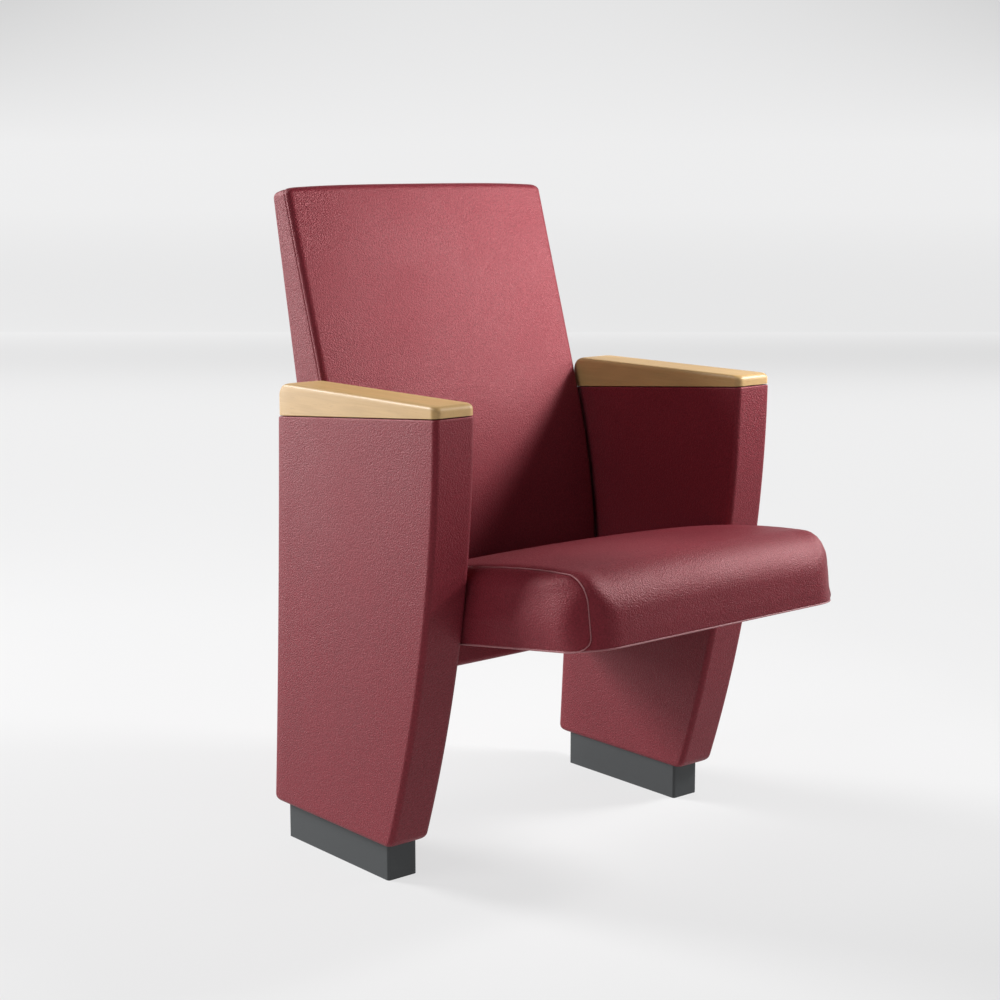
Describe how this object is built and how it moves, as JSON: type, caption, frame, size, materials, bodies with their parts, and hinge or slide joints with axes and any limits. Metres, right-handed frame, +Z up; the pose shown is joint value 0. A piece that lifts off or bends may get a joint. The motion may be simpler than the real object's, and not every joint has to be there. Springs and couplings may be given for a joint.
{
  "type": "tip-up auditorium seat",
  "caption": "Tip-up auditorium seat: upholstered side pedestals with wooden arm caps, a reclined padded backrest and a crowned padded seat that tips up on stub axles.",
  "frame": {"origin": "on the floor under the middle of the overall box: midway between the two pedestals and midway between the seat's front edge and the backrest's rear top edge", "axes": "+Z up, -Y the way a sitting person faces (the seat's front), +X to the right of a viewer who looks at the chair from the front"},
  "size_m": [0.624, 0.6843, 0.9409],
  "materials": {
    "upholstery": "grained burgundy upholstery with a soft sheen",
    "foam": "moulded foam",
    "plywood": "raw plywood",
    "arm_wood": "light wood, satin varnish",
    "frame_steel": "black powder coat",
    "zinc_steel": "zinc plated",
    "shoe_paint": "dark grey, satin",
    "nylon": "natural nylon",
    "rubber": "black rubber",
    "spring_steel": "oiled spring wire"
  },
  "bodies": {
    "frame": {"arm_cap_screws": "zinc_steel", "axle_clips": "zinc_steel", "axle_screws": "zinc_steel", "back_battens": "plywood", "back_bolt_nuts": "zinc_steel", "back_bolts": "zinc_steel", "back_front_board": "plywood", "back_front_cover": "upholstery", "back_padding": "foam", "back_rear_board": "plywood", "back_rear_cover": "upholstery", "back_side_bands": "upholstery", "back_spacers": "zinc_steel", "left_arm_cap": "arm_wood", "left_back_rail": "frame_steel", "left_base_plate": "frame_steel", "left_cross_rails": "plywood", "left_foot_cover": "shoe_paint", "left_front_rib": "plywood", "left_hinge_axle": "zinc_steel", "left_inner_board": "plywood", "left_outer_board": "plywood", "left_panel_cover": "upholstery", "left_panel_padding": "foam", "left_post": "frame_steel", "left_rear_rib": "plywood", "left_return_spring": "spring_steel", "left_side_plate": "frame_steel", "left_stop_crank": "zinc_steel", "right_arm_cap": "arm_wood", "right_back_rail": "frame_steel", "right_base_plate": "frame_steel", "right_cross_rails": "plywood", "right_foot_cover": "shoe_paint", "right_front_rib": "plywood", "right_hinge_axle": "zinc_steel", "right_inner_board": "plywood", "right_outer_board": "plywood", "right_panel_cover": "upholstery", "right_panel_padding": "foam", "right_post": "frame_steel", "right_rear_rib": "plywood", "right_return_spring": "spring_steel", "right_side_plate": "frame_steel", "right_stop_crank": "zinc_steel", "stop_buffers": "rubber"},
    "seat": {"left_pivot_bush": "nylon", "left_seat_arm": "frame_steel", "left_seat_side_cover": "upholstery", "right_pivot_bush": "nylon", "right_seat_arm": "frame_steel", "right_seat_side_cover": "upholstery", "seat_arm_screws": "zinc_steel", "seat_base_board": "plywood", "seat_base_cover": "upholstery", "seat_battens": "plywood", "seat_board": "plywood", "seat_cover": "upholstery", "seat_padding": "foam"}
  },
  "joints": [
    {"name": "seat_tip", "type": "hinge", "parent": "frame", "child": "seat", "pos_m": [0, 0.0641, 0.3607], "axis": [-1, 0, 0], "range_deg": [0, 75], "stiffness_Nm_per_rad": 3.2, "springref_deg": 114.59, "deforming": ["left_return_spring", "right_return_spring"]}
  ]
}
